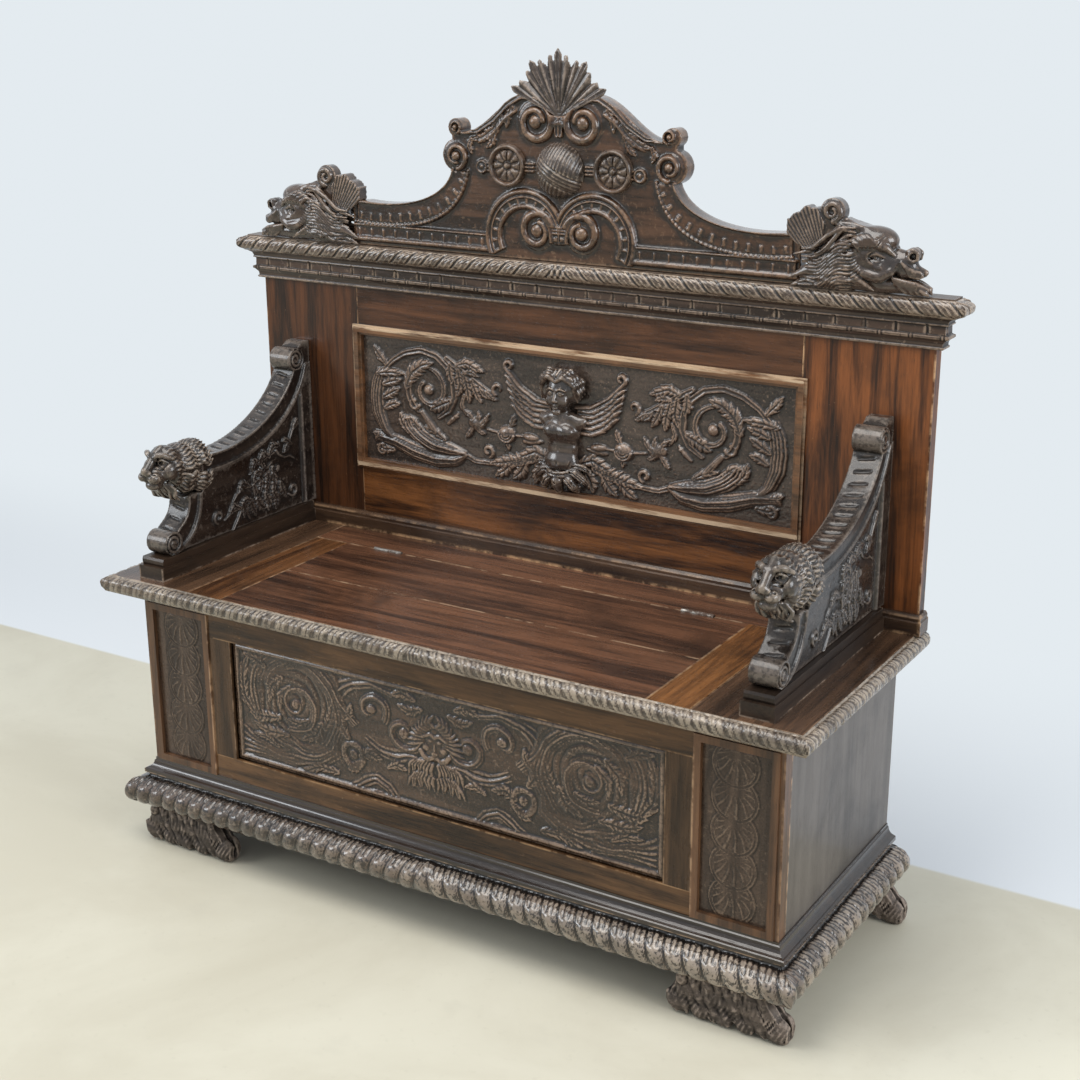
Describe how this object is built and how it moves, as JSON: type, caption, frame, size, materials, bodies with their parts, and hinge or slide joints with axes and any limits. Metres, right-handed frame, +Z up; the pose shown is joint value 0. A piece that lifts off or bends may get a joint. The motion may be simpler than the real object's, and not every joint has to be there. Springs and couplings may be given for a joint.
{
  "type": "hall bench",
  "caption": "Carved wooden hall bench: a chest under a hinged seat, scrolled arms with lion heads, and a tall panelled back with a moulded cornice and crest.",
  "frame": {"origin": "on the floor, at the middle of the overall width and depth", "axes": "+X to the sitter's left (the right side as seen from the front), +Y to the rear, +Z up"},
  "size_m": [1.4, 0.488, 1.4],
  "materials": {
    "dark_walnut": "dark waxed",
    "worn_walnut": "worn carving, waxed",
    "red_walnut": "polished",
    "orange_walnut": "polished, worn at the edges",
    "old_iron": "aged iron"
  },
  "bodies": {
    "carcase": {"foot_front_left": "worn_walnut", "foot_front_right": "worn_walnut", "foot_rear_left": "worn_walnut", "foot_rear_right": "worn_walnut", "base_gadroon_front": "worn_walnut", "base_gadroon_sides": "worn_walnut", "base_cove": "dark_walnut", "base_rear_rail": "dark_walnut", "chest_bottom_boards": "red_walnut", "front_top_rail": "dark_walnut", "front_bottom_rail": "dark_walnut", "front_stile_left": "dark_walnut", "front_stile_right": "dark_walnut", "front_panel": "worn_walnut", "pilaster_left": "dark_walnut", "pilaster_right": "dark_walnut", "chest_side_left": "dark_walnut", "chest_side_right": "dark_walnut", "chest_back_board": "red_walnut", "seat_end_left": "red_walnut", "seat_end_right": "red_walnut", "seat_rear_strip": "red_walnut", "seat_lip_left": "worn_walnut", "seat_lip_right": "worn_walnut", "hinge_fixed_leaves": "old_iron", "hinge_pins": "old_iron", "hinge_fixed_screws": "old_iron", "arm_plinth_left": "dark_walnut", "arm_plinth_right": "dark_walnut", "arm_board_left": "dark_walnut", "arm_board_right": "dark_walnut", "arm_rest_left": "dark_walnut", "arm_rest_right": "dark_walnut", "lion_head_left": "worn_walnut", "lion_head_right": "worn_walnut", "back_stile_left": "orange_walnut", "back_stile_right": "orange_walnut", "back_top_rail": "red_walnut", "back_bottom_rail": "red_walnut", "back_panel": "dark_walnut", "back_panel_carving": "worn_walnut", "back_panel_moulding": "orange_walnut", "back_skirting": "orange_walnut", "cornice_frieze": "dark_walnut", "cornice_rope": "worn_walnut", "cornice_top_board": "red_walnut", "crest_board": "red_walnut", "crest_scrolls": "orange_walnut", "crest_shell": "dark_walnut", "crest_boss": "dark_walnut", "crest_rosettes": "orange_walnut", "beast_left": "worn_walnut", "beast_right": "worn_walnut"},
    "lid": {"lid_front_plank": "red_walnut", "lid_rear_plank": "red_walnut", "lid_clamp_left": "orange_walnut", "lid_clamp_right": "orange_walnut", "lid_lip": "worn_walnut", "hinge_lid_leaves": "old_iron", "hinge_lid_screws": "old_iron"}
  },
  "joints": [
    {"name": "lid_hinge", "type": "hinge", "parent": "carcase", "child": "lid", "pos_m": [0, 0.124, 0.517], "axis": [-1, 0, 0], "range_deg": [0, 95]}
  ]
}
